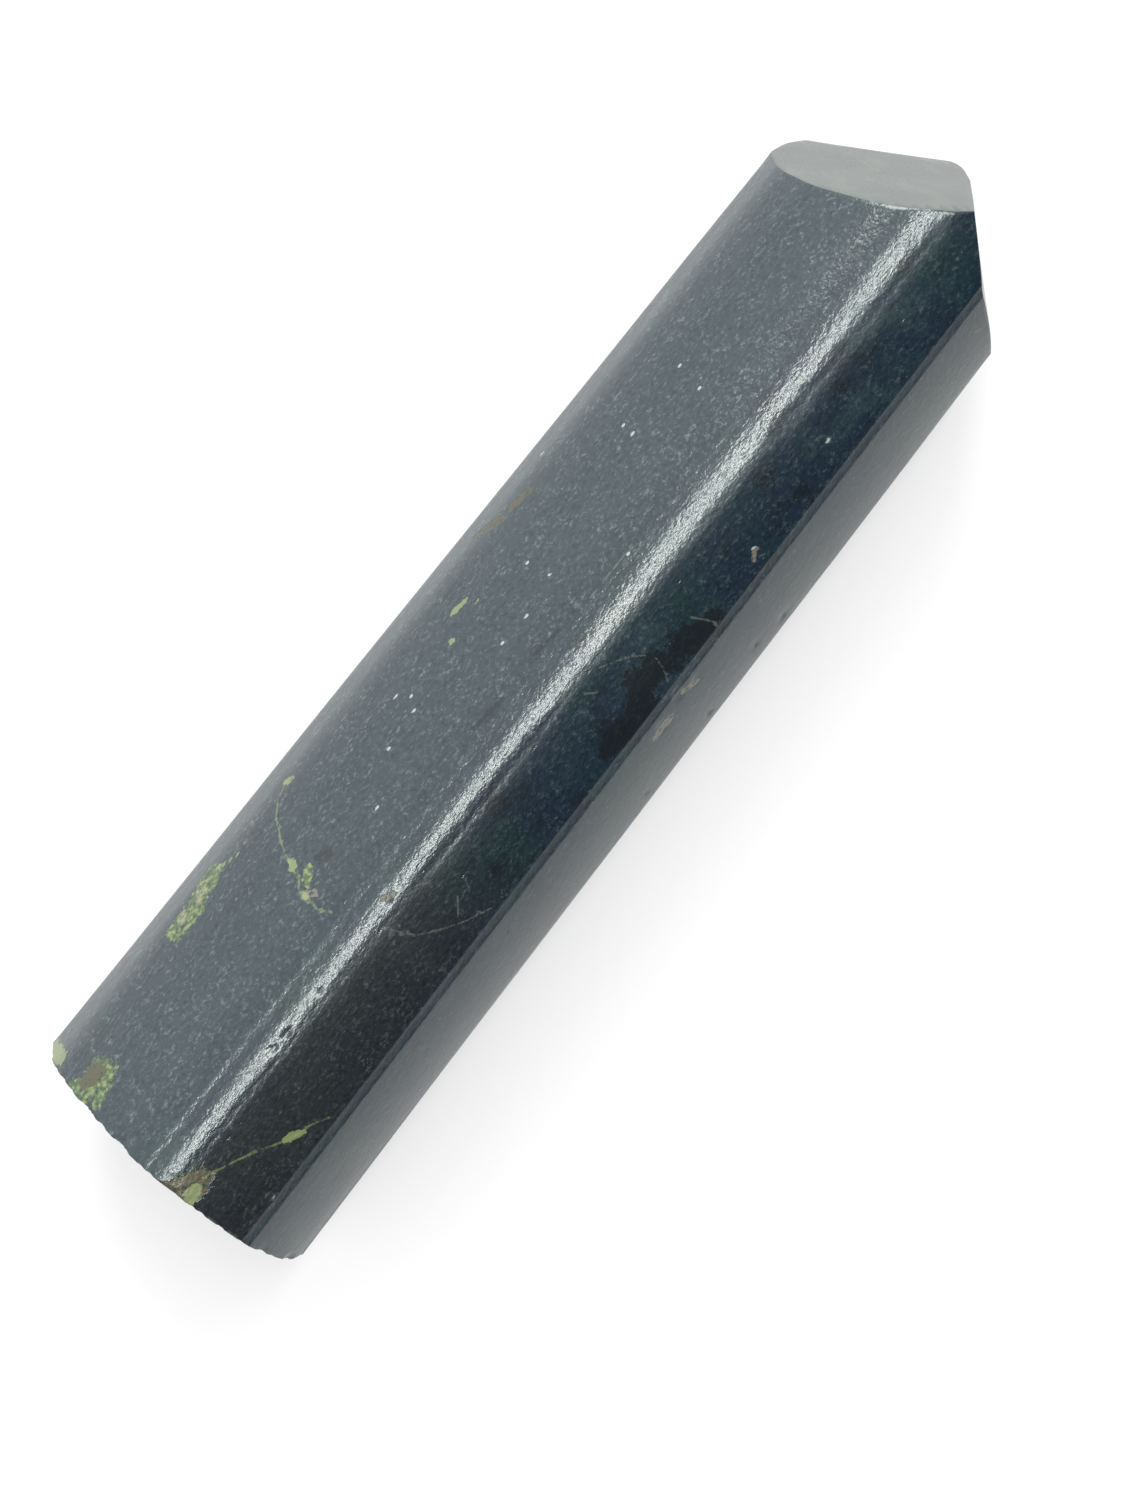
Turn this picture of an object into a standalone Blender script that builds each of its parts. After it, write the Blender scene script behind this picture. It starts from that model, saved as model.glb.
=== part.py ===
"""A black tourmaline obelisk: one polished stone, lying on its long resting flat.

X runs along the stone from the sawn base to the point, +Z is up, and the origin is under the
middle of the stone on the surface that it lies on. The stone starts as a round tapered bar. Long
flats are ground along it, three facets are ground to a point, the base is sawn a little askew,
and every edge is worn.
"""
import math

import bmesh
import bpy
from mathutils import Matrix, Vector

MM = 0.001

LENGTH = 98.7 * MM
BASE_RADIUS = 12.7 * MM
POINT_RADIUS = 11.45 * MM
BASE_MIDDLE = 11.6 * MM  # height of the bar's middle line over the resting flat, at the base
POINT_MIDDLE = 10.45 * MM
BAR_SIDES = 96
SPARE = 3 * MM  # bar left past each end until the ends are cut

BASE_X = -LENGTH / 2
POINT_X = LENGTH / 2

# Each long flat: the lean of its outward normal from straight up, in degrees growing towards -Y,
# and its distance from the bar's middle line at the base and at the point.
CRISP_FLATS = {
    "ridge bevel": (-1.0, 11.00 * MM, 10.10 * MM),
    "dark face": (21.0, 10.87 * MM, 10.42 * MM),
    "narrow band": (40.0, 11.78 * MM, 11.20 * MM),
    "steep side": (62.0, 11.92 * MM, 11.05 * MM),
    "lower right": (117.0, 11.95 * MM, 10.60 * MM),
    "under right": (150.0, 11.75 * MM, 10.55 * MM),
    "resting flat": (180.0, BASE_MIDDLE, POINT_MIDDLE),
    "under left": (-148.0, 11.85 * MM, 10.80 * MM),
    "lower left": (-113.0, 12.05 * MM, 10.90 * MM),
}
# These run into each other on the stone's rounded side.
SOFT_FLATS = {
    "shoulder": (-15.0, 10.75 * MM, 9.75 * MM),
    "slope": (-31.0, 10.30 * MM, 9.30 * MM),
    "lower slope": (-48.0, 10.65 * MM, 9.60 * MM),
    "flank": (-67.0, 11.60 * MM, 10.45 * MM),
}
SOFT_LEANS = (-80.0, -8.0)  # the soft edges lie between these
SOFT_WIDTH = 1.3 * MM  # from a soft edge to where its rounding starts
SOFT_STEPS = 4

# The three facets of the point, which meet at the apex: the turn of the normal, read as a lean
# is, and the angle between the normal and the stone's length, both in degrees.
POINT_FACETS = {
    "pale facet": (-46.3, 42.6),
    "side facet": (76.9, 46.3),
    "under facet": (197.0, 45.0),
}
APEX_WEAR = 0.6 * MM  # how far the sharp apex is worn back
APEX = Vector((POINT_X + APEX_WEAR, -1.1 * MM, 9.0 * MM))

BASE_SKEW = 2.0  # degrees that the saw cut is off square, towards +Y

EDGE_WEAR = 0.25 * MM  # width of the worn strip beside every ground edge
EDGE_STEPS = 2
CRISP_ANGLE = math.radians(9)  # neighbouring faces that turn more than this meet in an edge

STONE_COLOUR = (0.035, 0.045, 0.052, 1.0)
STONE_ROUGHNESS = 0.28

# Chips struck off the base's rim: the lean of the place, the angle between the break and the
# base, and how deep the break goes under the rim's corner.
RIM_CHIPS = {
    "left": (-82.0, 50.0, 0.45 * MM),
    "under the ridge": (6.0, 62.0, 0.25 * MM),
    "right": (82.0, 48.0, 0.50 * MM),
    "below": (-155.0, 55.0, 0.45 * MM),
}


def clear_scene():
    for thing in list(bpy.data.objects):
        bpy.data.objects.remove(thing, do_unlink=True)


def outward(lean):
    """Unit vector across the stone for a lean in degrees."""
    turn = math.radians(lean)
    return Vector((0.0, -math.sin(turn), math.cos(turn)))


def along(x, at_base, at_point):
    """A measure that runs evenly from the base to the point."""
    return at_base + (at_point - at_base) * (x - BASE_X) / LENGTH


def middle(x):
    return Vector((x, 0.0, along(x, BASE_MIDDLE, POINT_MIDDLE)))


def grind(bm, point, normal):
    """Take away what stands past a plane and close the cut."""
    whole = bm.verts[:] + bm.edges[:] + bm.faces[:]
    cut = bmesh.ops.bisect_plane(bm, geom=whole, plane_co=point, plane_no=normal, clear_outer=True)
    rim = [edge for edge in cut["geom_cut"] if isinstance(edge, bmesh.types.BMEdge)]
    bmesh.ops.contextual_create(bm, geom=rim)


def make_bar(bm):
    """The round tapered bar, long enough to be cut to length."""
    start, end = BASE_X - SPARE, POINT_X + SPARE
    bmesh.ops.create_circle(
        bm, cap_ends=True, segments=BAR_SIDES, radius=along(start, BASE_RADIUS, POINT_RADIUS)
    )
    stand_up = Matrix.Rotation(math.radians(90), 4, "Y")
    bmesh.ops.transform(bm, matrix=Matrix.Translation(middle(start)) @ stand_up, verts=bm.verts)
    drawn = bmesh.ops.extrude_face_region(bm, geom=bm.faces[:])["geom"]
    far_end = [vert for vert in drawn if isinstance(vert, bmesh.types.BMVert)]
    share = along(end, BASE_RADIUS, POINT_RADIUS) / along(start, BASE_RADIUS, POINT_RADIUS)
    bmesh.ops.translate(bm, vec=middle(end) - middle(start), verts=far_end)
    bmesh.ops.scale(
        bm, vec=(1.0, share, share), space=Matrix.Translation(-middle(end)), verts=far_end
    )
    bmesh.ops.recalc_face_normals(bm, faces=bm.faces[:])


def grind_flat(bm, lean, at_base, at_point):
    start = middle(BASE_X) + outward(lean) * at_base
    end = middle(POINT_X) + outward(lean) * at_point
    across = Vector((1.0, 0.0, 0.0)).cross(outward(lean))
    grind(bm, start, across.cross(end - start))


def wear(bm, edges, width, steps):
    bmesh.ops.bevel(
        bm,
        geom=edges,
        offset=width,
        offset_type="OFFSET",
        segments=steps,
        profile=0.5,
        affect="EDGES",
        material=-1,
        clamp_overlap=True,
    )


def round_soft_edges(bm):
    """Blend the soft flats into each other."""
    soft = []
    for edge in bm.edges:
        halfway = (edge.verts[0].co + edge.verts[1].co) / 2
        off = halfway - middle(halfway.x)
        lean = math.degrees(math.atan2(-off.y, off.z))
        on_soft_side = SOFT_LEANS[0] < lean < SOFT_LEANS[1] and edge.calc_length() > LENGTH
        if on_soft_side and edge.calc_face_angle() > CRISP_ANGLE:
            soft.append(edge)
    wear(bm, soft, SOFT_WIDTH, SOFT_STEPS)


def make_point(bm):
    for turn, lean in POINT_FACETS.values():
        tilt = math.radians(lean)
        grind(bm, APEX, outward(turn) * math.sin(tilt) + Vector((math.cos(tilt), 0.0, 0.0)))
    grind(bm, Vector((POINT_X, 0.0, 0.0)), Vector((1.0, 0.0, 0.0)))


def saw_base(bm):
    skew = math.radians(BASE_SKEW)
    outermost = Vector((BASE_X, -BASE_RADIUS, BASE_MIDDLE))
    grind(bm, outermost, Vector((-math.cos(skew), math.sin(skew), 0.0)))


def chip_rim(bm):
    for lean, slant, depth in RIM_CHIPS.values():
        normal = Vector((-math.cos(math.radians(slant)), 0.0, 0.0))
        normal += outward(lean) * math.sin(math.radians(slant))
        corner = max((vert.co for vert in bm.verts), key=normal.dot)
        grind(bm, corner - normal * depth, normal)


def wear_edges(bm):
    crisp = [edge for edge in bm.edges if edge.calc_face_angle() > CRISP_ANGLE]
    wear(bm, crisp, EDGE_WEAR, EDGE_STEPS)


def stone_material():
    """Polished blue-black tourmaline."""
    material = bpy.data.materials.new("polished_tourmaline")
    material.use_nodes = True
    shader = material.node_tree.nodes["Principled BSDF"]
    shader.inputs["Base Color"].default_value = STONE_COLOUR
    shader.inputs["Roughness"].default_value = STONE_ROUGHNESS
    shader.inputs["Metallic"].default_value = 0.0
    return material


def make_obelisk():
    bm = bmesh.new()
    make_bar(bm)
    for lean, at_base, at_point in SOFT_FLATS.values():
        grind_flat(bm, lean, at_base, at_point)
    for lean, at_base, at_point in CRISP_FLATS.values():
        grind_flat(bm, lean, at_base, at_point)
    round_soft_edges(bm)
    make_point(bm)
    saw_base(bm)
    chip_rim(bm)
    wear_edges(bm)
    mesh = bpy.data.meshes.new("obelisk")
    bm.to_mesh(mesh)
    bm.free()
    mesh.materials.append(stone_material())
    stone = bpy.data.objects.new("obelisk", mesh)
    bpy.context.collection.objects.link(stone)


clear_scene()
make_obelisk()
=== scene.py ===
"""The looks of the black tourmaline obelisk: its fine surface, its stone, the floor, light and camera.

The stone is ground again from the same round bar as its solid, with a fine mesh, small chips and
pits, and a polished blue-black material with green patches, pale veins and white specks. A place
on it is given by how far it is along the stone and by its lean, in degrees round the stone from
straight up, growing towards -Y.
"""
import math
import random

import bmesh
import bpy
from mathutils import Matrix, Vector, noise
from mathutils.bvhtree import BVHTree
from mathutils.geometry import intersect_point_line
from mathutils.kdtree import KDTree


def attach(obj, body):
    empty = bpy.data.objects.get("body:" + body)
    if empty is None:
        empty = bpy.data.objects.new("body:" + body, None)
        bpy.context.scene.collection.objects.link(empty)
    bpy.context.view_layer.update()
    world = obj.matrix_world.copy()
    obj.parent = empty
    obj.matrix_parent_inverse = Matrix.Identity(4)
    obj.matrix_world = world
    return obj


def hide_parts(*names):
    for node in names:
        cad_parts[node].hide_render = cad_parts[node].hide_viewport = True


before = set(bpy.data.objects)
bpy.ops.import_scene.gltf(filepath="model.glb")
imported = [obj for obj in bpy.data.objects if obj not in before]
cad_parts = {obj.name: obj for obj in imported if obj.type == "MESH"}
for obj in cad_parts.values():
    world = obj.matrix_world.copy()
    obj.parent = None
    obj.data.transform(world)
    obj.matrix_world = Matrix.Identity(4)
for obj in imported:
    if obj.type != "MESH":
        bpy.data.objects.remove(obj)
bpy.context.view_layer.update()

MM = 0.001

# The bar that the stone is ground from.
LENGTH = 98.7 * MM
BASE_RADIUS = 12.7 * MM
POINT_RADIUS = 11.45 * MM
BASE_MIDDLE = 11.6 * MM  # height of the middle line over the floor, at the base
POINT_MIDDLE = 10.45 * MM
BAR_SIDES = 192
SPARE = 3 * MM
BASE_X = -LENGTH / 2
POINT_X = LENGTH / 2

# Each long flat: the lean of its outward normal, and its distance from the middle line at the
# base and at the point.
CRISP_FLATS = {
    "ridge bevel": (-1.0, 10.87 * MM, 10.04 * MM),
    "dark face": (21.0, 10.87 * MM, 10.42 * MM),
    "narrow band": (40.0, 11.78 * MM, 11.20 * MM),
    "steep side": (62.0, 11.56 * MM, 10.88 * MM),
    "lower right": (117.0, 11.95 * MM, 10.60 * MM),
    "under right": (150.0, 11.75 * MM, 10.55 * MM),
    "resting flat": (180.0, BASE_MIDDLE, POINT_MIDDLE),
    "under left": (-148.0, 11.85 * MM, 10.80 * MM),
    "lower left": (-113.0, 12.05 * MM, 10.90 * MM),
}
SOFT_FLATS = {
    "shoulder": (-15.0, 10.75 * MM, 9.75 * MM),
    "slope": (-31.0, 10.30 * MM, 9.30 * MM),
    "lower slope": (-48.0, 10.65 * MM, 9.60 * MM),
    "flank": (-67.0, 11.60 * MM, 10.45 * MM),
}
SOFT_LEANS = (-80.0, -8.0)
SOFT_WIDTH = 1.3 * MM
SOFT_STEPS = 8

# The point's three facets: the turn of the normal round the stone, and its lean from the length.
POINT_FACETS = {
    "pale facet": (-46.3, 42.6),
    "side facet": (76.9, 46.3),
    "under facet": (197.0, 45.0),
}
APEX_WEAR = 0.6 * MM
APEX = Vector((POINT_X + APEX_WEAR, -1.1 * MM, 9.0 * MM))

BASE_SKEW = 2.0  # degrees that the saw cut is off square

EDGE_WEAR = 0.25 * MM
EDGE_STEPS = 3
CRISP_ANGLE = math.radians(9)

# Breaks in the base's rim: lean, angle between the break and the base, depth under the corner.
RIM_BREAKS = {
    "left": (-82.0, 50.0, 0.45 * MM),
    "under the ridge": (6.0, 62.0, 0.25 * MM),
    "right": (82.0, 48.0, 0.50 * MM),
    "below": (-155.0, 55.0, 0.45 * MM),
}

RING_STEP = 0.6 * MM  # the fine mesh: rings along the stone, cuts round it, squares on the base
LEAN_STEP = 2.5
BASE_STEP = 0.8 * MM
CUT_SLACK = 0.02 * MM  # a cut uses a vertex that lies this near to it

# How far normals point along the stone: on a long side at most this far to either end, on the
# point's facets and on the sawn face at least.
SIDE_NORMAL = 0.2
FACET_NORMAL = 0.45
SAWN_NORMAL = -0.9

# Hand polishing: rounds of smoothing over all the long sides, more rounds over these but for one
# crisp edge, and still more over the edges that are worn soft. Each of those lies between two
# leans and two lengths.
FIRST_POLISH = 2
SIDE_POLISH = 12
SOFT_EDGE_POLISH = 30
CRISP_EDGE = (42.0, 49.5)
SOFT_EDGES = [
    ((46.0, 58.0), (18.0 * MM, 44.0 * MM)),
    ((-10.0, 2.0), (-26.0 * MM, 46.0 * MM)),
    ((10.0, 21.0), (22.0 * MM, 46.0 * MM)),
    ((6.0, 19.0), (-20.0 * MM, -4.0 * MM)),
]
# A slow wave that polishing leaves in the ground faces, longer along the stone than round it.
WAVE_DEPTH = 0.05 * MM
WAVE_LENGTH = 16.0 * MM
WAVE_BREADTH = 5.0 * MM

# Flats that are a little crowned: the leans of their edges at the base, those at the point, and
# the height of the crown at both ends. The narrow band is hollow.
CROWNS = {
    "ridge bevel": ((-2.8, 9.6), (-1.0, 15.3), (0.22 * MM, 0.08 * MM)),
    "dark face": ((9.5, 43.8), (15.3, 42.7), (0.22 * MM, 0.22 * MM)),
    "narrow band": ((43.8, 48.2), (42.7, 47.0), (-0.04 * MM, -0.03 * MM)),
    "steep side": ((48.2, 85.0), (47.0, 85.5), (0.46 * MM, 0.42 * MM)),
    "lower right": ((96.0, 133.0), (96.0, 133.0), (0.15 * MM, 0.15 * MM)),
    "under right": ((133.0, 160.0), (133.0, 160.0), (0.10 * MM, 0.10 * MM)),
    "under left": ((-162.0, -130.0), (-162.0, -130.0), (0.08 * MM, 0.08 * MM)),
    "lower left": ((-130.0, -93.0), (-130.0, -93.0), (0.12 * MM, 0.12 * MM)),
}
# Corners of the point, each worn by a few flat cuts: the direction of the cut from above, in
# degrees from the stone's length towards +Y, how much it rises, and its depth under the corner.
CORNER_CUTS = [
    (-22.0, 0.22, 0.38 * MM),
    (0.0, 0.22, 0.12 * MM),
    (14.0, 0.22, 0.04 * MM),
    (-11.0, 0.22, 0.04 * MM),
    (-42.0, 0.0, 0.24 * MM),
    (48.0, 0.0, 0.05 * MM),
    (68.0, 0.0, 0.08 * MM),
]
# Places where the stone stands out more than its flats give: place, reach and move.
SWELLS = [
    (Vector((42.8, 10.0, 9.0)) * MM, 3.5 * MM, Vector((0.36, 0.28, -0.86)) * MM),
]

# Chips knocked out of the edges: place along the stone, lean, radius and depth.
CHIPS = [
    (-36.0 * MM, 6.5, 0.35 * MM, 0.12 * MM),
    (-34.6 * MM, 7.0, 0.40 * MM, 0.14 * MM),
    (-30.6 * MM, 7.0, 0.32 * MM, 0.12 * MM),
    (-22.2 * MM, 6.0, 0.35 * MM, 0.12 * MM),
    (2.9 * MM, 49.0, 0.80 * MM, 0.08 * MM),
    (4.6 * MM, 52.0, 0.60 * MM, 0.07 * MM),
    (0.3 * MM, 53.0, 0.70 * MM, 0.07 * MM),
    (14.7 * MM, 38.0, 0.40 * MM, 0.12 * MM),
    (24.5 * MM, 40.0, 0.35 * MM, 0.10 * MM),
    (-45.1 * MM, 42.0, 0.50 * MM, 0.14 * MM),
    (12.8 * MM, 76.0, 0.50 * MM, 0.12 * MM),
    (9.7 * MM, 72.0, 0.40 * MM, 0.10 * MM),
    (3.5 * MM, 77.0, 0.45 * MM, 0.10 * MM),
    (-4.3 * MM, 76.0, 0.40 * MM, 0.10 * MM),
    (-22.6 * MM, -28.0, 0.70 * MM, 0.12 * MM),
]
CHIP_CUTS = 2  # how finely the mesh is divided there, and how far past the chip, in radii
CHIP_MARGIN = 1.7
CHIP_ROUGHNESS = 0.5  # how uneven the depth of a chip is, and over what length
CHIP_GRAIN = 0.25 * MM
RIM_CHIPS = 38  # small chips along the base's rim
RIM_CHIP_RADIUS = (0.32 * MM, 1.0 * MM)
RIM_CHIP_DEPTH = 0.20  # as a share of the radius
RIM_SHIFT = 0.45  # how far a chip may be from its even place, as a share of their spacing
RIM_REACH = 2 * MM  # the part of the stone in which the rim is looked for
RIM_PULL = 0.3  # how strongly a chip keeps to the sawn face
RIM_SEED = 7

# The stone's colours, as linear light.
BLUE_BLACK = (0.0045, 0.0125, 0.024, 1.0)
TEAL_BLACK = (0.004, 0.019, 0.021, 1.0)
SLATE = (0.012, 0.028, 0.034, 1.0)
PITCH = (0.003, 0.005, 0.007, 1.0)
COAL = (0.012, 0.0125, 0.014, 1.0)
# Partly painted light: the pale haze laid on the rounded side that faces the studio's bright left, as
# well as a duller polish there.
HAZE_AND_PAINTED_LIGHT = (0.014, 0.025, 0.034, 1.0)
# The pale facet's greys: partly a painted reflection of the bright floor beyond the point, partly a
# dull film on the facet.
FACET_GREY_AND_PAINTED_REFLECTION = (0.059, 0.069, 0.060, 1.0)
FACET_CLOUD_AND_PAINTED_REFLECTION = (0.076, 0.088, 0.077, 1.0)
PALE_GRAIN = (0.120, 0.160, 0.160, 1.0)
WHITE_SPECK = (0.34, 0.37, 0.36, 1.0)
GREEN = (0.050, 0.088, 0.025, 1.0)
YELLOW_GREEN = (0.19, 0.235, 0.095, 1.0)
BEIGE = (0.22, 0.20, 0.15, 1.0)
RUST = (0.055, 0.045, 0.022, 1.0)
CREAM = (0.24, 0.26, 0.22, 1.0)
REFLECTION_TINT = (0.94, 1.0, 0.965, 1.0)
STONE_IOR = 1.72
SHADE_MIDDLE = 11.0  # mm, the middle line's mean height, from which the material takes its leans

# Marks on the stone. Each runs between two places, given as mm along the stone and lean, and has
# a breadth in mm.
MARKS = {
    "green": [
        ((-34.6, -67), (-29.6, -72), 2.0),
        ((-33.2, -65), (-31.8, -66), 1.4),
        ((-48.2, -52), (-46.0, -48), 2.6),
        ((-47.9, -40), (-46.4, -42), 0.9),
        ((-24.3, -30), (-25.2, -26), 0.75),
        ((-47.7, 10), (-46.7, 16), 1.2),
        ((20.0, 158), (24.5, 150), 3.4),
        ((-18.0, -140), (-13.0, -150), 3.0),
        ((-40.0, 128), (-37.5, 124), 2.2),
    ],
    "yellow": [
        ((-24.6, -40), (-24.9, -37), 0.7),
        ((-29.2, -73), (-27.2, -67), 0.28),
        ((-41.0, 33), (-39.7, 37), 0.55),
        ((-2.7, -56), (-1.6, -55), 0.6),
        ((-1.2, -49), (-0.4, -49), 0.25),
        ((-4.7, -46), (-4.1, -45), 0.5),
        ((-48.4, 16), (-47.8, 17), 1.0),
        ((-47.9, -88), (-47.7, -74), 1.3),
        ((-25.7, -24), (-25.9, -22), 0.6),
        ((-20.6, -73), (-20.3, -71), 0.7),
    ],
    "beige": [
        ((-26.0, -24), (-25.3, -20), 0.65),
        ((-33.9, -68), (-33.1, -70), 0.8),
        ((-31.8, -68), (-31.0, -71), 0.8),
        ((-24.8, -73), (-24.5, -72), 0.5),
        ((-26.0, -69), (-25.8, -68), 0.4),
        ((3.3, 50), (4.6, 53), 0.5),
        ((-0.6, 54), (1.3, 54), 0.7),
        ((14.2, 38), (14.9, 36), 0.35),
    ],
    "rust": [
        ((-48.3, 11), (-47.2, 16), 2.2),
        ((-47.0, -52), (-46.2, -50), 1.7),
        ((3.2, -78), (5.4, -70), 0.8),
        ((6.3, -70), (8.2, -68), 0.8),
        ((-22.6, 4), (-21.8, 6), 0.5),
        ((21.0, 156), (23.0, 152), 1.6),
    ],
    "dark": [
        ((1.2, 33), (3.6, 33), 2.6),
        ((6.0, 37), (8.6, 41), 2.7),
        ((-3.2, 38), (0.5, 40), 2.0),
        ((-23.1, -29), (-22.5, -27), 1.0),
        ((-8.8, -10), (-5.6, -8), 0.30),
        ((-1.6, -9), (1.0, -7), 0.30),
        ((-42.4, 66), (-40.6, 66), 0.28),
        ((-37.8, 72), (-36.6, 71), 0.3),
    ],
}
# Veins and cracks run from place to place, at a breadth in mm.
ROUTES = {
    "vein": [
        [(-20.5, -73), (-22.0, -69), (-23.0, -63), (-24.2, -50), (-24.8, -41), (-25.4, -30),
         (-26.0, -27), (-26.0, -20), (-26.1, -14), (-25.6, -9)],
        [(-46.8, 16), (-44.8, 21), (-43.1, 26), (-41.1, 33), (-40.0, 36), (-39.1, 37), (-37.9, 41)],
        [(30.0, 120), (26.0, 135), (24.0, 150), (17.0, 165), (12.0, 178)],
        [(-13.0, -150), (-8.0, -135), (-5.0, -120), (-4.0, -104)],
    ],
    "crack": [
        [(0.7, 15), (1.3, 17), (2.2, 20), (2.9, 23), (3.6, 27)],
        [(3.9, 31), (3.7, 36), (3.1, 41)],
        [(7.9, 32), (8.4, 37), (8.9, 43)],
        [(-24.1, 11), (-23.7, 17), (-23.2, 23), (-21.7, 30), (-20.1, 36), (-18.2, 41)],
        [(-19.0, 27), (-20.1, 32)],
        [(9.4, -4), (8.2, -5), (6.9, -5), (4.6, -5)],
        [(-42.8, 51), (-42.3, 53)],
        [(38.2, 57), (38.9, 60)],
        [(-1.4, 17), (-0.8, 21)],
    ],
}
ROUTE_BREADTH = {"vein": 0.18, "crack": 0.15}
KINDS = ("green", "yellow", "beige", "rust", "dark", "vein", "crack", "speck")
FINE_KINDS = ("vein", "crack", "speck")
FINE_ROUNDS = 2
FINE_MARGIN = 0.45  # mm of fine mesh past the edge of a thin mark

# White specks that stand out on the photographed side: mm along the stone, and lean.
WHITE_SPECKS = [
    (21.7, -26), (16.1, -39), (16.2, -46), (11.1, -79), (22.3, -42), (3.6, -40), (3.9, -27),
    (8.6, -4), (0.4, -23), (-2.3, -24), (-10.3, -51), (-9.6, -44), (-10.3, -38), (-13.7, -36),
    (-17.6, -22), (24.5, 32), (14.7, 35),
]
SPECK_BREADTH = 0.22  # mm, as the length is
SPECK_LENGTH = 0.15
MARKS["speck"] = [
    ((x, lean), (x + SPECK_LENGTH, lean), SPECK_BREADTH) for x, lean in WHITE_SPECKS
]

# Light from round about: how bright the studio is at each lean of the sky, from the left, which
# is negative, over the top to the right. Under the horizon only the floor shows.
SKY = [
    (-180, 1.0), (-110, 1.2), (-60, 1.4), (-46, 1.15), (-30, 1.1), (-18, 1.2), (-8, 1.3),
    (8, 1.1), (20, 0.5), (32, 0.20), (45, 0.09), (62, 0.06), (72, 0.34), (80, 0.68), (100, 0.88),
    (180, 0.9),
]
SKY_TOP = 2.0  # the brightest that the ramp can hold
FLOOR_GLOW = 0.37
FLOOR_WHITE = 0.47
FLOOR_ROUGHNESS = 0.9
FLOOR_SHINE = 0.1
FLOOR_HALF = 3.0  # metres
# The studio's two lights: place and size in metres, radiance, and the turn from facing straight
# down, in degrees. The first gives the ridge its highlight.
PANELS = {
    "overhead_panel": ((0.04, -0.022, 0.60), (0.64, 0.05), 27.0, (0.0, 0.0, 12.0)),
    "key_panel": ((0.45, 0.40, 0.45), (0.35, 0.35), 9.0, (0.0, 53.2, 41.6)),
}

# The camera that took the photograph, worked out from the stone's outline.
PHOTO_HEIGHT = 1500  # pixels
FOCAL_LENGTH = 2830  # pixels
CAMERA_PLACE = Vector((-5.715, -4.4, 230.0)) * MM
CAMERA_TURN = -51.9  # degrees round straight down
NEAREST = 10 * MM


def outward(lean):
    turn = math.radians(lean)
    return Vector((0.0, -math.sin(turn), math.cos(turn)))


def along(x, at_base, at_point):
    """A measure that runs evenly from the base to the point."""
    return at_base + (at_point - at_base) * (x - BASE_X) / LENGTH


def middle(x):
    return Vector((x, 0.0, along(x, BASE_MIDDLE, POINT_MIDDLE)))


def lean_of(point):
    off = point - middle(point.x)
    return math.degrees(math.atan2(-off.y, off.z))


def grind(bm, point, normal):
    """Take away what stands past a plane and close the cut."""
    whole = bm.verts[:] + bm.edges[:] + bm.faces[:]
    cut = bmesh.ops.bisect_plane(bm, geom=whole, plane_co=point, plane_no=normal, clear_outer=True)
    rim = [edge for edge in cut["geom_cut"] if isinstance(edge, bmesh.types.BMEdge)]
    bmesh.ops.contextual_create(bm, geom=rim)


def make_bar(bm):
    start, end = BASE_X - SPARE, POINT_X + SPARE
    bmesh.ops.create_circle(
        bm, cap_ends=True, segments=BAR_SIDES, radius=along(start, BASE_RADIUS, POINT_RADIUS)
    )
    stand_up = Matrix.Rotation(math.radians(90), 4, "Y")
    bmesh.ops.transform(bm, matrix=Matrix.Translation(middle(start)) @ stand_up, verts=bm.verts)
    drawn = bmesh.ops.extrude_face_region(bm, geom=bm.faces[:])["geom"]
    far_end = [vert for vert in drawn if isinstance(vert, bmesh.types.BMVert)]
    share = along(end, BASE_RADIUS, POINT_RADIUS) / along(start, BASE_RADIUS, POINT_RADIUS)
    bmesh.ops.translate(bm, vec=middle(end) - middle(start), verts=far_end)
    bmesh.ops.scale(
        bm, vec=(1.0, share, share), space=Matrix.Translation(-middle(end)), verts=far_end
    )
    bmesh.ops.recalc_face_normals(bm, faces=bm.faces[:])


def grind_flat(bm, lean, at_base, at_point):
    start = middle(BASE_X) + outward(lean) * at_base
    end = middle(POINT_X) + outward(lean) * at_point
    across = Vector((1.0, 0.0, 0.0)).cross(outward(lean))
    grind(bm, start, across.cross(end - start))


def wear(bm, edges, width, steps):
    bmesh.ops.bevel(
        bm,
        geom=edges,
        offset=width,
        offset_type="OFFSET",
        segments=steps,
        profile=0.5,
        affect="EDGES",
        material=-1,
        clamp_overlap=True,
    )


def round_soft_edges(bm):
    soft = []
    for edge in bm.edges:
        lean = lean_of((edge.verts[0].co + edge.verts[1].co) / 2)
        on_soft_side = SOFT_LEANS[0] < lean < SOFT_LEANS[1] and edge.calc_length() > LENGTH
        if on_soft_side and edge.calc_face_angle() > CRISP_ANGLE:
            soft.append(edge)
    wear(bm, soft, SOFT_WIDTH, SOFT_STEPS)


def make_point(bm):
    for turn, lean in POINT_FACETS.values():
        tilt = math.radians(lean)
        grind(bm, APEX, outward(turn) * math.sin(tilt) + Vector((math.cos(tilt), 0.0, 0.0)))
    grind(bm, Vector((POINT_X, 0.0, 0.0)), Vector((1.0, 0.0, 0.0)))


def wear_corners(bm):
    for turn, rise, depth in CORNER_CUTS:
        normal = Vector((math.cos(math.radians(turn)), math.sin(math.radians(turn)), rise))
        normal.normalize()
        corner = max((vert.co for vert in bm.verts if vert.co.x > 0), key=normal.dot)
        grind(bm, corner - normal * depth, normal)


def saw_base(bm):
    skew = math.radians(BASE_SKEW)
    outermost = Vector((BASE_X, -BASE_RADIUS, BASE_MIDDLE))
    grind(bm, outermost, Vector((-math.cos(skew), math.sin(skew), 0.0)))


def break_rim(bm):
    for lean, slant, depth in RIM_BREAKS.values():
        normal = Vector((-math.cos(math.radians(slant)), 0.0, 0.0))
        normal += outward(lean) * math.sin(math.radians(slant))
        corner = max((vert.co for vert in bm.verts), key=normal.dot)
        grind(bm, corner - normal * depth, normal)


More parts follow.
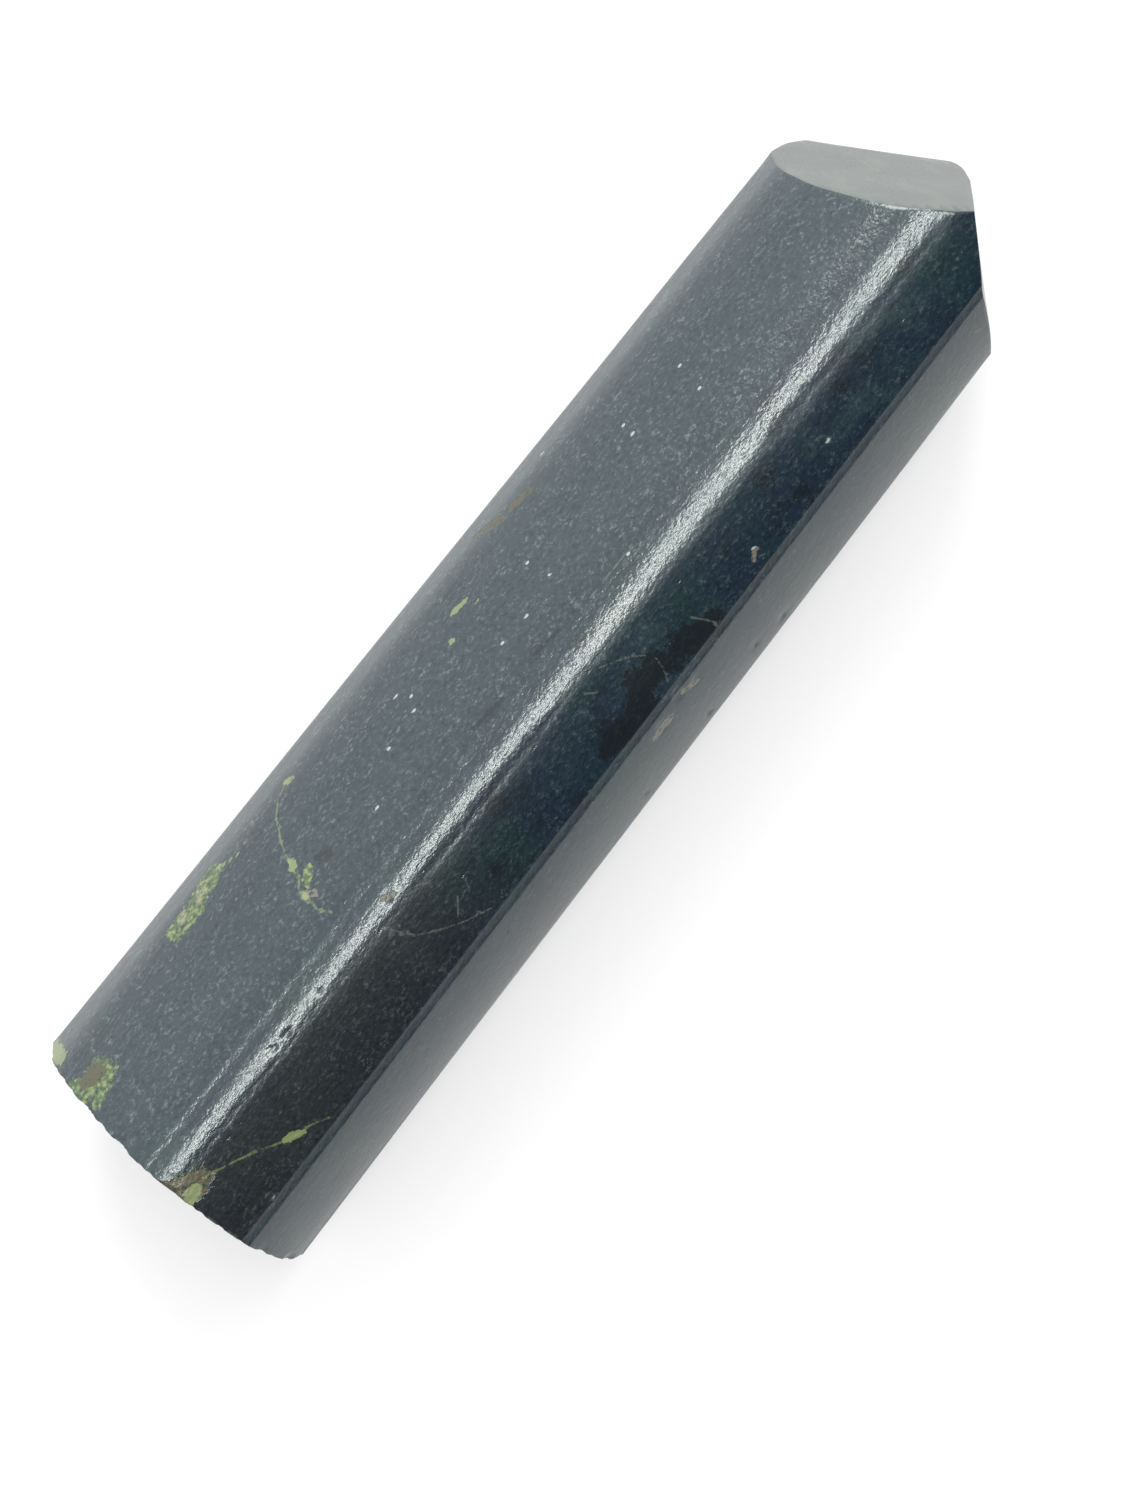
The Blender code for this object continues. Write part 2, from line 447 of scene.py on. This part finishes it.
def wear_edges(bm):
    crisp = [edge for edge in bm.edges if edge.calc_face_angle() > CRISP_ANGLE]
    wear(bm, crisp, EDGE_WEAR, EDGE_STEPS)


def cut_through(bm, point, normal):
    """Add the edges where a plane meets the surface."""
    whole = bm.verts[:] + bm.edges[:] + bm.faces[:]
    bmesh.ops.bisect_plane(bm, geom=whole, plane_co=point, plane_no=normal, dist=CUT_SLACK)


def refine(bm):
    """Divide the long faces into small ones, by rings and by cuts along the middle line."""
    rings = int(LENGTH / RING_STEP)
    for ring in range(1, rings):
        cut_through(bm, Vector((BASE_X + ring * RING_STEP, 0.0, 0.0)), Vector((1.0, 0.0, 0.0)))
    line = (middle(POINT_X) - middle(BASE_X)).normalized()
    for step in range(int(180 / LEAN_STEP)):
        side = outward(step * LEAN_STEP + LEAN_STEP / 2)
        cut_through(bm, middle(0.0), line.cross(side))


def divide_base(bm):
    """Cut the sawn face into small squares."""
    for axis in (Vector((0.0, 1.0, 0.0)), Vector((0.0, 0.0, 1.0))):
        steps = int(2 * BASE_RADIUS / BASE_STEP)
        for step in range(steps):
            faces = [face for face in bm.faces if face.normal.x < SAWN_NORMAL]
            edges = {edge for face in faces for edge in face.edges}
            verts = {vert for face in faces for vert in face.verts}
            point = middle(BASE_X) + axis * (step * BASE_STEP + BASE_STEP / 3 - BASE_RADIUS)
            bmesh.ops.bisect_plane(
                bm, geom=[*verts, *edges, *faces], plane_co=point, plane_no=axis, dist=CUT_SLACK
            )


def polish(bm, verts, rounds):
    for _ in range(rounds):
        bmesh.ops.smooth_vert(
            bm, verts=verts, factor=0.5, use_axis_x=True, use_axis_y=True, use_axis_z=True
        )


def wave(bm):
    """Sink the ground faces here and there, as hand polishing leaves them."""
    bm.normal_update()
    for vert in bm.verts:
        place = vert.co
        at = Vector((place.x / WAVE_LENGTH, place.y / WAVE_BREADTH, place.z / WAVE_BREADTH))
        sunk = WAVE_DEPTH * (1 + noise.noise(at))
        vert.co -= vert.normal * sunk


def crown(bm):
    """Swell the flats between their edges; near the middle line nothing moves."""
    for vert in bm.verts:
        lean = lean_of(vert.co)
        across = (vert.co - middle(vert.co.x)).length / BASE_RADIUS
        for at_base, at_point, heights in CROWNS.values():
            start, end = (along(vert.co.x, *ends) for ends in zip(at_base, at_point))
            if start < lean < end:
                share = (lean - start) / (end - start)
                height = along(vert.co.x, *heights) * 4 * share * (1 - share)
                vert.co += outward(lean) * height * across ** 2
                break


def swell(bm):
    for centre, reach, move in SWELLS:
        for vert in bm.verts:
            share = (vert.co - centre).length / reach
            if share < 1:
                vert.co += move * (1 - share * share) ** 2


def vert_finder(bm):
    """A function that gives the vertices within reach of a point."""
    verts = bm.verts[:]
    tree = KDTree(len(verts))
    for index, vert in enumerate(verts):
        tree.insert(vert.co, index)
    tree.balance()
    return lambda point, reach: [verts[found[1]] for found in tree.find_range(point, reach)]


def split_edges(bm, near, cuts):
    """Divide the edges between these vertices, and ease the new ones into the surface."""
    edges = {edge for vert in near for edge in vert.link_edges if edge.other_vert(vert) in near}
    made = bmesh.ops.subdivide_edges(bm, edges=list(edges), cuts=cuts, use_grid_fill=True)
    new = [thing for thing in made["geom_inner"] if isinstance(thing, bmesh.types.BMVert)]
    polish(bm, new, 1)


def scoop(hollow, centre, radius, depth):
    """Sink these vertices into a small hollow round a point."""
    inward = -sum((vert.normal for vert in hollow), Vector()).normalized()
    for vert in hollow:
        share = (vert.co - centre).length / radius
        rough = 1 + CHIP_ROUGHNESS * noise.noise(vert.co / CHIP_GRAIN)
        vert.co += inward * depth * rough * (1 - share * share)


def chip_edges(bm):
    bm.normal_update()
    skin = BVHTree.FromBMesh(bm)
    rim = [vert.co.copy() for vert in bm.verts if vert.co.x < BASE_X + RIM_REACH]
    places = []
    for x, lean, radius, depth in CHIPS:
        places.append((skin.ray_cast(middle(x), outward(lean))[0], radius, depth))
    dice = random.Random(RIM_SEED)
    for number in range(RIM_CHIPS):
        lean = 360 / RIM_CHIPS * (number + dice.uniform(-RIM_SHIFT, RIM_SHIFT))
        smallest, largest = RIM_CHIP_RADIUS
        radius = smallest + (largest - smallest) * dice.random() ** 3
        outside = skin.ray_cast(middle(BASE_X + RIM_REACH), outward(lean))[0]
        corner = min(rim, key=lambda co: (co.yz - outside.yz).length + RIM_PULL * (co.x - BASE_X))
        places.append((corner, radius, radius * RIM_CHIP_DEPTH))
    find = vert_finder(bm)
    near = {vert for centre, radius, _ in places for vert in find(centre, CHIP_MARGIN * radius)}
    split_edges(bm, near, CHIP_CUTS)
    bm.normal_update()
    find = vert_finder(bm)
    for centre, radius, depth in places:
        scoop(find(centre, radius), centre, radius, depth)


def on_skin(skin, place):
    """The point of the surface at a place given as mm along and lean."""
    x, lean = place
    return skin.ray_cast(middle(x * MM), outward(lean))[0]


def off_run(point, head, foot):
    """How far a point is from the straight run between two others."""
    nearest, share = intersect_point_line(point, head, foot)
    return (point - (head if share < 0 else foot if share > 1 else nearest)).length


def near_run(find, head, foot, reach):
    """The vertices within reach of a straight run, and how far each is from it."""
    span = find((head + foot) / 2, (foot - head).length / 2 + reach)
    pairs = [(vert, off_run(vert.co, head, foot)) for vert in span]
    return [(vert, far) for vert, far in pairs if far < reach]


def runs_of(kind):
    """Every mark of a kind as straight runs: two places and a breadth in mm."""
    runs = list(MARKS.get(kind, []))
    for route in ROUTES.get(kind, []):
        runs += [(start, end, ROUTE_BREADTH[kind]) for start, end in zip(route, route[1:])]
    return runs


def thicken_mesh(bm, skin):
    """Small faces along the thin marks, so that these can be drawn on them."""
    runs = [run for kind in FINE_KINDS for run in runs_of(kind)]
    for _ in range(FINE_ROUNDS):
        find = vert_finder(bm)
        near = set()
        for start, end, breadth in runs:
            reach = (breadth / 2 + FINE_MARGIN) * MM
            found = near_run(find, on_skin(skin, start), on_skin(skin, end), reach)
            near.update(vert for vert, _ in found)
        split_edges(bm, near, 1)


def paint_marks(bm, skin):
    """For each kind of mark an attribute: 1 along its middle line, 0.5 at its edge."""
    for kind in (*KINDS, "facet", "sawn"):
        bm.verts.layers.float.new(kind)
    bm.normal_update()
    facet = bm.verts.layers.float["facet"]
    sawn = bm.verts.layers.float["sawn"]
    for vert in bm.verts:
        vert[facet] = float(vert.normal.x > FACET_NORMAL)
        vert[sawn] = float(vert.normal.x < SAWN_NORMAL)
    find = vert_finder(bm)
    for kind in KINDS:
        layer = bm.verts.layers.float[kind]
        for start, end, breadth in runs_of(kind):
            reach = breadth * MM
            found = near_run(find, on_skin(skin, start), on_skin(skin, end), reach)
            for vert, far in found:
                vert[layer] = max(vert[layer], 1 - far / reach)


def make_stone():
    bm = bmesh.new()
    make_bar(bm)
    for lean, at_base, at_point in SOFT_FLATS.values():
        grind_flat(bm, lean, at_base, at_point)
    for lean, at_base, at_point in CRISP_FLATS.values():
        grind_flat(bm, lean, at_base, at_point)
    round_soft_edges(bm)
    make_point(bm)
    wear_corners(bm)
    saw_base(bm)
    break_rim(bm)
    wear_edges(bm)
    refine(bm)
    divide_base(bm)
    bm.normal_update()
    sides = [vert for vert in bm.verts if abs(vert.normal.x) < SIDE_NORMAL]
    polish(bm, sides, FIRST_POLISH)
    sides = [vert for vert in sides if not CRISP_EDGE[0] < lean_of(vert.co) < CRISP_EDGE[1]]
    polish(bm, sides, SIDE_POLISH)
    for leans, lengths in SOFT_EDGES:
        edge = [vert for vert in sides if leans[0] < lean_of(vert.co) < leans[1]]
        edge = [vert for vert in edge if lengths[0] < vert.co.x < lengths[1]]
        polish(bm, edge, SOFT_EDGE_POLISH)
    crown(bm)
    wave(bm)
    swell(bm)
    chip_edges(bm)
    skin = BVHTree.FromBMesh(bm)
    thicken_mesh(bm, skin)
    paint_marks(bm, skin)
    mesh = bpy.data.meshes.new("polished_stone")
    bm.to_mesh(mesh)
    bm.free()
    mesh.shade_smooth()
    stone = bpy.data.objects.new("polished_stone", mesh)
    bpy.context.collection.objects.link(stone)
    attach(stone, "root")
    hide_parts("obelisk")
    mesh.materials.append(stone_material())


class Wire:
    """A socket whose arithmetic adds Math nodes to the tree in hand."""

    tree = None

    def __init__(self, socket):
        self.socket = socket

    @classmethod
    def node(cls, kind, settings=None, inputs=None, output=0):
        """Add a node, set its settings, then its sockets from values or other wires."""
        made = cls.tree.nodes.new(kind)
        for name, value in (settings or {}).items():
            if name == "stops":
                cls.set_stops(made.color_ramp, value)
            else:
                setattr(made, name, value)
        for name, value in (inputs or {}).items():
            cls.feed(made.inputs[name], value)
        return cls(made.outputs[output])

    def other(self, output):
        """Another output of the same node."""
        return Wire(self.socket.node.outputs[output])

    @classmethod
    def feed(cls, socket, value):
        if isinstance(value, Wire):
            cls.tree.links.new(value.socket, socket)
        else:
            socket.default_value = value

    @staticmethod
    def set_stops(ramp, stops):
        while len(ramp.elements) > 1:
            ramp.elements.remove(ramp.elements[-1])
        ramp.elements[0].position, ramp.elements[0].color = stops[0]
        for position, colour in stops[1:]:
            ramp.elements.new(position).color = colour

    @classmethod
    def maths(cls, operation, *values):
        return cls.node("ShaderNodeMath", {"operation": operation}, dict(enumerate(values)))

    def __add__(self, other):
        return self.maths("ADD", self, other)

    def __radd__(self, other):
        return self.maths("ADD", other, self)

    def __sub__(self, other):
        return self.maths("SUBTRACT", self, other)

    def __rsub__(self, other):
        return self.maths("SUBTRACT", other, self)

    def __mul__(self, other):
        return self.maths("MULTIPLY", self, other)

    def __rmul__(self, other):
        return self.maths("MULTIPLY", other, self)


def between(value, low, high):
    """Rises smoothly from 0 to 1 as the value goes from low to high."""
    return Wire.node(
        "ShaderNodeMapRange",
        {"interpolation_type": "SMOOTHSTEP"},
        {"Value": value, "From Min": low, "From Max": high},
        "Result",
    )


def blend(share, under, over):
    """One colour over another, by a share from 0 to 1."""
    return Wire.node(
        "ShaderNodeMix", {"data_type": "RGBA"}, {0: share, 6: under, 7: over}, output=2
    )


def cloudy(spot, size, detail=2.0):
    """Soft noise from 0 to 1 with blobs of about that size in mm."""
    return Wire.node("ShaderNodeTexNoise", None, {"Vector": spot, "Scale": 1 / size, "Detail": detail})


def stretched(spot, length):
    """The same spot with patterns drawn out along the stone."""
    return Wire.node("ShaderNodeMapping", None, {"Vector": spot, "Scale": (1 / length, 1.0, 1.0)})


def dots(spot, spacing, radius, share):
    """Round dots on a share of the cells of a Voronoi pattern; sizes in mm."""
    cells = Wire.node(
        "ShaderNodeTexVoronoi", None, {"Vector": spot, "Scale": 1 / spacing}, "Distance"
    )
    chance = Wire.node("ShaderNodeSeparateColor", None, {"Color": cells.other("Color")}, "Red")
    near = between(cells, 1.3 * radius / spacing, 0.7 * radius / spacing)
    return near * between(chance, 1 - share, 1 - 0.8 * share)


def painted(kind, ragged):
    """1 inside the marks of a kind, which the mesh carries; ragged moves their edge about."""
    amount = Wire.node("ShaderNodeAttribute", {"attribute_name": kind}, output="Fac")
    return between(amount + ragged, 0.42, 0.58)


def stone_material():
    """Polished tourmaline: a dark ground with pale grain and pits, coloured marks and veins."""
    material = bpy.data.materials.new("polished_tourmaline")
    material.use_nodes = True
    Wire.tree = material.node_tree
    shader = material.node_tree.nodes["Principled BSDF"]

    place = Wire.node("ShaderNodeTexCoord", output="Object")
    spot = Wire.node("ShaderNodeVectorMath", {"operation": "SCALE"}, {0: place, "Scale": 1 / MM})
    drawn = stretched(spot, 1.5)
    across = Wire.node("ShaderNodeSeparateXYZ", None, {"Vector": spot}, "Y")
    lean = Wire.maths("ARCTAN2", across * -1.0, across.other("Z") - SHADE_MIDDLE) * math.degrees(1)
    # The rounded side, the ridge, and the dark face towards the base, by their leans.
    left_side = between(lean, 4.0, -12.0) * between(lean, -170.0, -120.0)
    ridge = between(lean, -20.0, -8.0) * between(lean, 14.0, 6.0)
    coal = between(lean, 5.0, 14.0) * between(lean, 46.0, 40.0)
    coal = coal * between(across.other("X"), -8.0, -26.0) * 0.75
    facet = Wire.node("ShaderNodeAttribute", {"attribute_name": "facet"}, output="Fac")
    sawn = Wire.node("ShaderNodeAttribute", {"attribute_name": "sawn"}, output="Fac")

    # Patterns, with their sizes in mm.
    cloud = cloudy(spot, 9.0)
    patchy = cloudy(drawn, 3.0)
    coarse = cloudy(drawn, 0.8)
    grain = cloudy(drawn, 0.30)
    fine = cloudy(drawn, 0.14, 1.0)
    scratch = cloudy(stretched(spot, 40.0), 0.14, 1.0)
    saw_lines = cloudy(
        Wire.node("ShaderNodeMapping", None, {"Vector": spot, "Scale": (1.0, 0.04, 1.0)}), 0.5
    )
    pins = dots(drawn, 0.55, 0.085, 0.30)
    pits = dots(drawn, 0.9, 0.10, 0.16)

    # The dark ground with its grain, with painted light on the rounded side and a painted reflection
    # on the pale facet.
    colour = blend(between(cloud, 0.45, 0.75), BLUE_BLACK, TEAL_BLACK)
    colour = blend(between(patchy, 0.50, 0.70) * 0.7, colour, SLATE)
    colour = blend(between(patchy, 0.44, 0.28) * 0.7, colour, PITCH)
    # Painted light in part: the rounded side, lit from the bright left, is lightened here as well as
    # hazed by a duller polish.
    colour = blend(left_side * (0.55 + patchy * 0.5), colour, HAZE_AND_PAINTED_LIGHT)
    colour = blend(coal, colour, COAL)
    grains = between(grain * 0.6 + fine * 0.4, 0.48, 0.72)
    grains = grains * (0.16 + 0.60 * between(coarse, 0.35, 0.75)) * (0.45 + 0.55 * left_side)
    colour = blend(grains, colour, PALE_GRAIN)
    colour = blend(between(grain, 0.44, 0.28) * 0.7, colour, PITCH)
    colour = blend(pits * 0.6, colour, PITCH)
    colour = blend(pins * coarse * (0.12 + 0.33 * left_side), colour, PALE_GRAIN)
    # Painted reflection in part: the pale facet is lightened for the bright floor it reflects, as well
    # as for a dull film on it.
    facet_film_and_reflection = blend(between(cloudy(spot, 2.2), 0.50, 0.66), FACET_GREY_AND_PAINTED_REFLECTION, FACET_CLOUD_AND_PAINTED_REFLECTION)
    colour = blend(facet * 0.8, colour, facet_film_and_reflection)

    # The coloured marks, with torn or frayed edges.
    tear = (cloudy(spot, 1.3) - 0.5) * 0.8 + (cloudy(spot, 0.28) - 0.5) * 0.7
    fray = (cloudy(spot, 0.5) - 0.5) * 0.7
    green = painted("green", tear)
    yellow = painted("yellow", tear)
    beige = painted("beige", fray)
    rust = painted("rust", tear)
    dark = painted("dark", tear)
    vein = painted("vein", fray)
    crack = painted("crack", fray)
    speck = painted("speck", 0.0)

    fleck = cloudy(spot, 0.35)
    green_stone = blend(between(fleck, 0.46, 0.66), GREEN, YELLOW_GREEN)
    green_stone = blend(between(fleck, 0.42, 0.32), green_stone, TEAL_BLACK)
    colour = blend(dark * 0.85, colour, PITCH)
    colour = blend(green * 0.85, colour, green_stone)
    colour = blend(rust * between(fleck, 0.32, 0.52), colour, RUST)
    colour = blend(yellow * 0.7, colour, YELLOW_GREEN)
    colour = blend(beige * between(fleck, 0.25, 0.55) * 0.5, colour, BEIGE)
    colour = blend(vein * between(fleck, 0.30, 0.60) * 0.45, colour, YELLOW_GREEN)
    colour = blend(crack * between(fleck, 0.30, 0.60) * 0.22, colour, CREAM)
    colour = blend(speck * 0.8, colour, WHITE_SPECK)

    # The polish, and the height in mm of what the mesh is too coarse for.
    coloured = Wire.maths("MAXIMUM", green, rust)
    roughness = 0.19 + grains * 0.20 + patchy * 0.08 + coloured * 0.15 + sawn * 0.22

    height = grain * (0.020 + 0.014 * ridge) + coarse * 0.028 + scratch * 0.003
    height = height + fine * (0.005 + 0.009 * ridge) - pits * 0.016
    height = height * (1.0 - facet * 0.9) - coloured * fleck * 0.05 + sawn * saw_lines * 0.10
    bump = Wire.node("ShaderNodeBump", None, {"Height": height, "Distance": MM, "Strength": 1.0})

    shader.inputs["IOR"].default_value = STONE_IOR
    shader.inputs["Specular Tint"].default_value = REFLECTION_TINT
    Wire.feed(shader.inputs["Base Color"], colour)
    Wire.feed(shader.inputs["Roughness"], roughness)
    Wire.feed(shader.inputs["Normal"], bump)
    return material


def make_floor():
    bm = bmesh.new()
    bmesh.ops.create_grid(bm, x_segments=1, y_segments=1, size=FLOOR_HALF)
    mesh = bpy.data.meshes.new("floor")
    bm.to_mesh(mesh)
    bm.free()
    floor = bpy.data.objects.new("floor", mesh)
    bpy.context.collection.objects.link(floor)
    material = bpy.data.materials.new("pale_floor")
    material.use_nodes = True
    shader = material.node_tree.nodes["Principled BSDF"]
    shader.inputs["Base Color"].default_value = (FLOOR_WHITE, FLOOR_WHITE, FLOOR_WHITE, 1.0)
    shader.inputs["Roughness"].default_value = FLOOR_ROUGHNESS
    shader.inputs["Specular IOR Level"].default_value = FLOOR_SHINE
    shader.inputs["Emission Color"].default_value = (1.0, 1.0, 1.0, 1.0)
    shader.inputs["Emission Strength"].default_value = FLOOR_GLOW
    mesh.materials.append(material)


def panel_light(name, place, size, radiance, turn):
    """A flat rectangular light, whose power follows from its radiance and size."""
    light = bpy.data.lights.new(name, "AREA")
    light.shape = "RECTANGLE"
    light.size, light.size_y = size
    light.energy = radiance * math.pi * size[0] * size[1]
    lamp = bpy.data.objects.new(name, light)
    lamp.location = place
    lamp.rotation_euler = [math.radians(angle) for angle in turn]
    bpy.context.collection.objects.link(lamp)


def make_sky():
    """A studio that is bright to the left and overhead, and dark at the upper right.

    The camera sees it as plain white.
    """
    world = bpy.data.worlds.new("studio")
    world.use_nodes = True
    Wire.tree = world.node_tree
    toward = Wire.node("ShaderNodeTexCoord", output="Generated")
    across = Wire.node("ShaderNodeSeparateXYZ", None, {"Vector": toward}, "Y")
    lean = Wire.maths("ARCTAN2", across * -1.0, across.other("Z"))
    stops = [(0.5 + angle / 360, (glow / SKY_TOP,) * 3 + (1.0,)) for angle, glow in SKY]
    ramp = Wire.node(
        "ShaderNodeValToRGB", {"stops": stops}, {"Fac": lean * (1 / math.tau) + 0.5}, "Color"
    )
    seen = Wire.node("ShaderNodeLightPath", output="Is Camera Ray")
    glow = blend(seen, ramp, (1 / SKY_TOP, 1 / SKY_TOP, 1 / SKY_TOP, 1.0))
    background = world.node_tree.nodes["Background"]
    Wire.feed(background.inputs["Color"], glow)
    background.inputs["Strength"].default_value = SKY_TOP
    bpy.context.scene.world = world


def make_camera():
    camera = bpy.data.cameras.new("camera")
    camera.lens = camera.sensor_width * FOCAL_LENGTH / PHOTO_HEIGHT
    camera.clip_start = NEAREST
    holder = bpy.data.objects.new("camera", camera)
    holder.location = CAMERA_PLACE
    holder.rotation_euler = (0.0, 0.0, math.radians(CAMERA_TURN))
    bpy.context.collection.objects.link(holder)
    bpy.context.scene.camera = holder


make_stone()
make_floor()
for name, (place, size, radiance, turn) in PANELS.items():
    panel_light(name, place, size, radiance, turn)
make_sky()
make_camera()
bpy.context.scene.view_settings.view_transform = "Standard"
bpy.context.scene.view_settings.look = "None"
